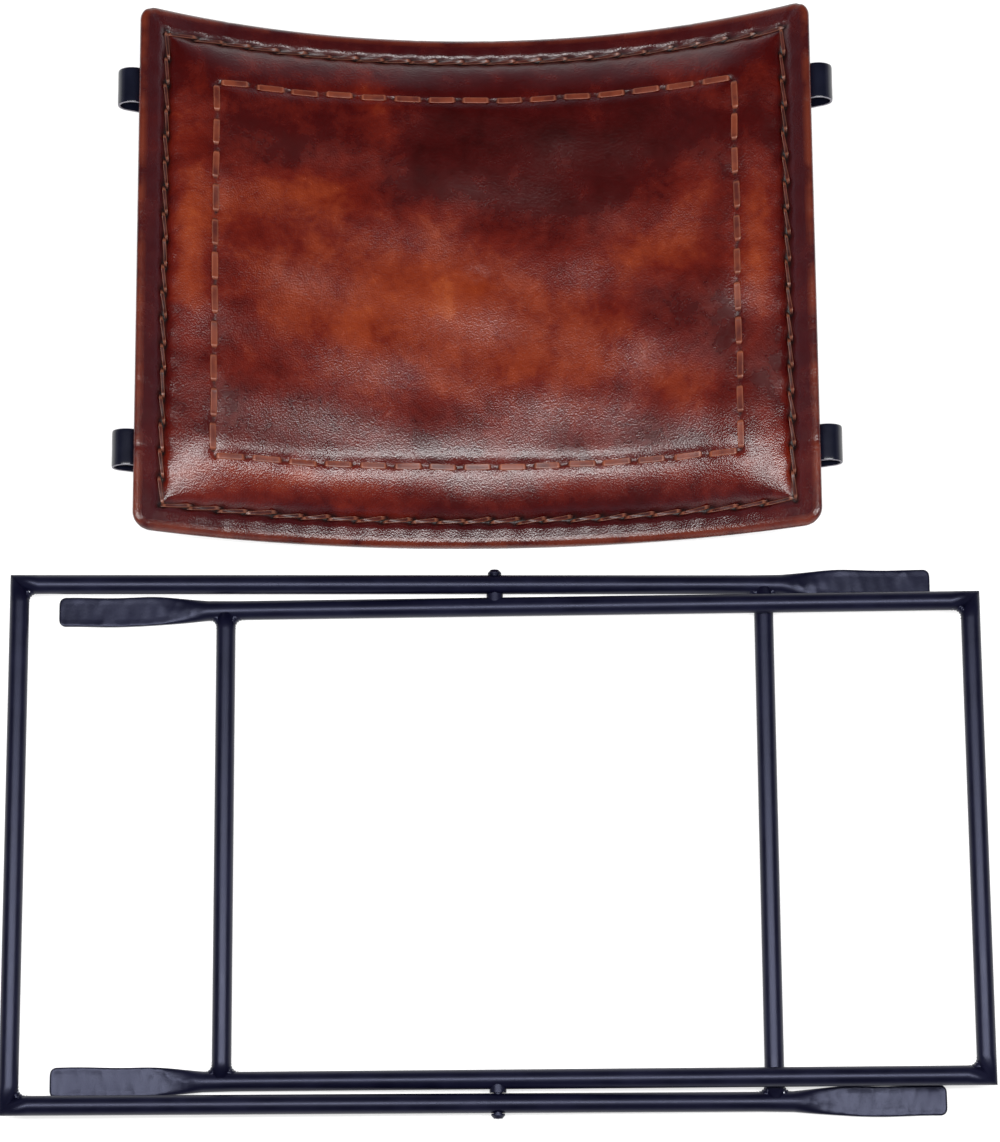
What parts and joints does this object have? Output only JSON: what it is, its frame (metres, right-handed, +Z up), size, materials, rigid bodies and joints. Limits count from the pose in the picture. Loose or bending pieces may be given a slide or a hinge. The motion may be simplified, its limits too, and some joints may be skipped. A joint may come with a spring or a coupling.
{
  "type": "leather stool",
  "caption": "Folding stool knocked down: a saddle-shaped padded leather seat with laced border, and its pivoting black iron frame with hammered flat ends.",
  "frame": {"origin": "middle of the footprint, on the floor", "axes": "+X along the seat's width, +Y from the frame to the seat behind it, +Z up"},
  "size_m": [0.6546, 0.7528, 0.0807],
  "materials": {
    "black_iron": "blackened iron, satin lacquer",
    "bare_weld": "lacquered weld bead",
    "pivot_iron": "peened iron, lacquered",
    "cover_leather": "glazed brown leather, mottled",
    "rim_leather": "glazed dark brown leather",
    "lace_leather": "brown leather thong",
    "backing_leather": "plain brown leather",
    "strap_leather": "black glazed strap leather",
    "cotton_felt": "cotton felt",
    "board": "moulded board",
    "rivet": "blackened tubular rivet"
  },
  "bodies": {
    "seat": {"seat_cover": "cover_leather", "seat_padding": "cotton_felt", "seat_board": "board", "seat_backing": "backing_leather", "rim_left": "rim_leather", "rim_right": "rim_leather", "rim_front": "rim_leather", "rim_back": "rim_leather", "outer_lacing": "lace_leather", "inner_lacing": "lace_leather", "strap_loop_front_left": "strap_leather", "strap_loop_back_left": "strap_leather", "strap_loop_front_right": "strap_leather", "strap_loop_back_right": "strap_leather", "loop_rivet_front_left": "rivet", "loop_rivet_back_left": "rivet", "loop_rivet_front_right": "rivet", "loop_rivet_back_right": "rivet"},
    "outer_frame": {"outer_rail_back": "black_iron", "outer_rail_front": "black_iron", "outer_foot_bar": "black_iron", "outer_cross_bar": "black_iron", "outer_weld_beads": "bare_weld"},
    "inner_frame": {"inner_rail_back": "black_iron", "pivot_pin_back": "pivot_iron", "pivot_collar_back": "pivot_iron", "inner_rail_front": "black_iron", "pivot_pin_front": "pivot_iron", "pivot_collar_front": "pivot_iron", "inner_foot_bar": "black_iron", "inner_cross_bar": "black_iron", "inner_weld_beads": "bare_weld"}
  },
  "joints": [
    {"name": "frame_raise", "type": "hinge", "parent": "seat", "child": "outer_frame", "pos_m": [0.29671, -0.192, 0.00023], "axis": [0, 1, 0], "range_deg": [0, 34]},
    {"name": "fold", "type": "hinge", "parent": "outer_frame", "child": "inner_frame", "pos_m": [0, -0.192, 0.01369], "axis": [0, -1, 0], "range_deg": [0, 68]}
  ],
  "couplings": [
    {"joint": "frame_raise", "follows": "fold", "ratio": 0.5}
  ]
}
